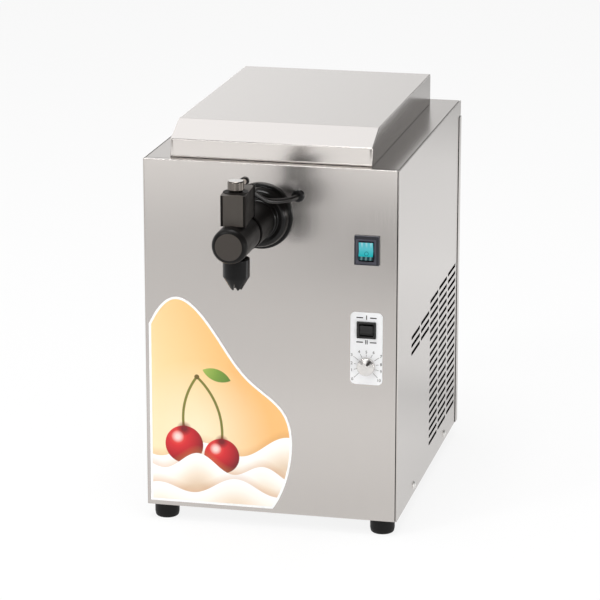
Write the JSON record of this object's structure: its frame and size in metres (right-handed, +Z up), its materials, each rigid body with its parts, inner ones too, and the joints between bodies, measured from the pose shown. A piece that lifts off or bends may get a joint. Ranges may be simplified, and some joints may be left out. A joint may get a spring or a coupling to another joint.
{
  "type": "cream whipper",
  "caption": "Counter-top cream whipper: chilled well under a lift-off lid, a gear pump behind the steel front and a solenoid-valved outlet head with a star nozzle.",
  "frame": {"origin": "middle of the overall box, on the surface that the feet stand on", "axes": "+X to the right seen from the front, -Y out of the front, +Z up"},
  "size_m": [0.2698, 0.502, 0.419],
  "materials": {
    "steel_sheet": "fine vertical grain, satin",
    "tray_steel": "plain sheet",
    "well_steel": "satin",
    "screw_steel": "bright turned",
    "shaft_steel": "ground",
    "knob_metal": "bright spun",
    "black_rubber": "matt",
    "head_plastic": "satin moulded",
    "coil_plastic": "matt moulded",
    "insert_plastic": "natural white",
    "foam": "cut foam",
    "liner_plastic": "plain",
    "copper": "copper tube",
    "pump_metal": "machined",
    "motor_paint": "satin paint",
    "compressor_paint": "gloss paint",
    "condenser_metal": "fins",
    "fan_plastic": "plain",
    "switch_bezel": "moulded",
    "switch_lit": "lit from inside",
    "switch_black": "moulded",
    "dial_metal": "plain",
    "board_green": "circuit board",
    "label_white": "satin film",
    "sticker_print": "printed film",
    "gland_black": "moulded"
  },
  "bodies": {
    "cabinet": {"front_panel": "steel_sheet", "left_side_panel": "steel_sheet", "right_side_panel": "steel_sheet", "top_deck": "steel_sheet", "rear_cover": "steel_sheet", "base_tray": "tray_steel", "rubber_feet": "black_rubber", "side_screws": "screw_steel", "rear_cover_screws": "screw_steel", "cream_well": "well_steel", "well_insulation": "foam", "evaporator_coil": "copper", "cream_container": "well_steel", "suction_pipe": "well_steel", "head_flange": "head_plastic", "outlet_collar": "head_plastic", "texture_insert": "insert_plastic", "barrel_seal": "black_rubber", "valve_body": "head_plastic", "plunger_tube": "shaft_steel", "valve_spring": "shaft_steel", "solenoid_coil": "coil_plastic", "coil_nut": "screw_steel", "solenoid_lead": "black_rubber", "lead_grommet": "black_rubber", "air_inlet_bush": "head_plastic", "pump_body": "pump_metal", "pump_rear_cover": "pump_metal", "pump_screws": "screw_steel", "drive_belt": "black_rubber", "drive_motor": "motor_paint", "motor_bracket": "tray_steel", "compressor": "compressor_paint", "compressor_mounts": "black_rubber", "condenser": "condenser_metal", "fan_frame": "fan_plastic", "filter_drier": "copper", "refrigerant_lines": "copper", "power_switch_housing": "switch_bezel", "mode_switch_housing": "switch_black", "dial_potentiometer": "dial_metal", "control_label": "label_white", "control_board": "board_green", "front_sticker": "sticker_print", "mains_gland": "gland_black"},
    "lid": {"lid_shell": "steel_sheet", "lid_liner": "liner_plastic", "lid_gasket": "black_rubber"},
    "power_rocker": {"power_rocker": "switch_lit"},
    "mode_rocker": {"mode_rocker": "switch_black"},
    "portion_knob": {"portion_knob": "knob_metal"},
    "motor_rotor": {"motor_shaft": "shaft_steel", "motor_pulley": "pump_metal"},
    "pump_drive": {"pump_drive_gear": "shaft_steel", "pump_pulley": "pump_metal"},
    "pump_idler": {"pump_idler_gear": "shaft_steel"},
    "fan": {"fan_rotor": "fan_plastic"},
    "plunger": {"valve_plunger": "shaft_steel"},
    "nozzle": {"star_nozzle": "head_plastic"},
    "air_screw": {"air_screw": "screw_steel"}
  },
  "joints": [
    {"name": "lid_lift", "type": "slide", "parent": "cabinet", "child": "lid", "axis": [0, 0, 1], "range_m": [0, 0.15]},
    {"name": "power_rocker_tilt", "type": "hinge", "parent": "cabinet", "child": "power_rocker", "pos_m": [0.1, -0.116, 0.3029], "axis": [1, 0, 0], "range_deg": [0, 18]},
    {"name": "mode_rocker_tilt", "type": "hinge", "parent": "cabinet", "child": "mode_rocker", "pos_m": [0.1, -0.1158, 0.2195], "axis": [1, 0, 0], "range_deg": [-8, 8], "stiffness_Nm_per_rad": 0.05},
    {"name": "portion_knob_turn", "type": "hinge", "parent": "cabinet", "child": "portion_knob", "pos_m": [0.1, -0.118, 0.1815], "axis": [0, 1, 0], "range_deg": [-171, 99]},
    {"name": "motor_turn", "type": "hinge", "parent": "cabinet", "child": "motor_rotor", "pos_m": [0.0022, -0.0554, 0.131], "axis": [0, 1, 0], "continuous": true},
    {"name": "pump_drive_turn", "type": "hinge", "parent": "cabinet", "child": "pump_drive", "pos_m": [0.0022, -0.0924, 0.3509], "axis": [0, 1, 0], "continuous": true},
    {"name": "pump_idler_turn", "type": "hinge", "parent": "cabinet", "child": "pump_idler", "pos_m": [-0.0218, -0.0924, 0.3509], "axis": [0, 1, 0], "continuous": true},
    {"name": "fan_turn", "type": "hinge", "parent": "cabinet", "child": "fan", "pos_m": [0.0695, 0.142, 0.101], "axis": [1, 0, 0], "continuous": true},
    {"name": "valve_lift", "type": "slide", "parent": "cabinet", "child": "plunger", "axis": [0, 0, 1], "range_m": [0, 0.005], "stiffness_N_per_m": 300, "springref_m": -0.002, "deforming": ["valve_spring"]},
    {"name": "nozzle_twist", "type": "hinge", "parent": "cabinet", "child": "nozzle", "pos_m": [-0.0098, -0.2195, 0.3099], "axis": [0, 0, 1], "range_deg": [0, 60]},
    {"name": "air_screw_turn", "type": "hinge", "parent": "cabinet", "child": "air_screw", "pos_m": [-0.0266, -0.118, 0.3675], "axis": [0, 1, 0], "range_deg": [0, 360]}
  ],
  "couplings": [
    {"joint": "pump_drive_turn", "follows": "motor_turn", "ratio": 0.72727},
    {"joint": "pump_idler_turn", "follows": "motor_turn", "ratio": -0.72727}
  ]
}
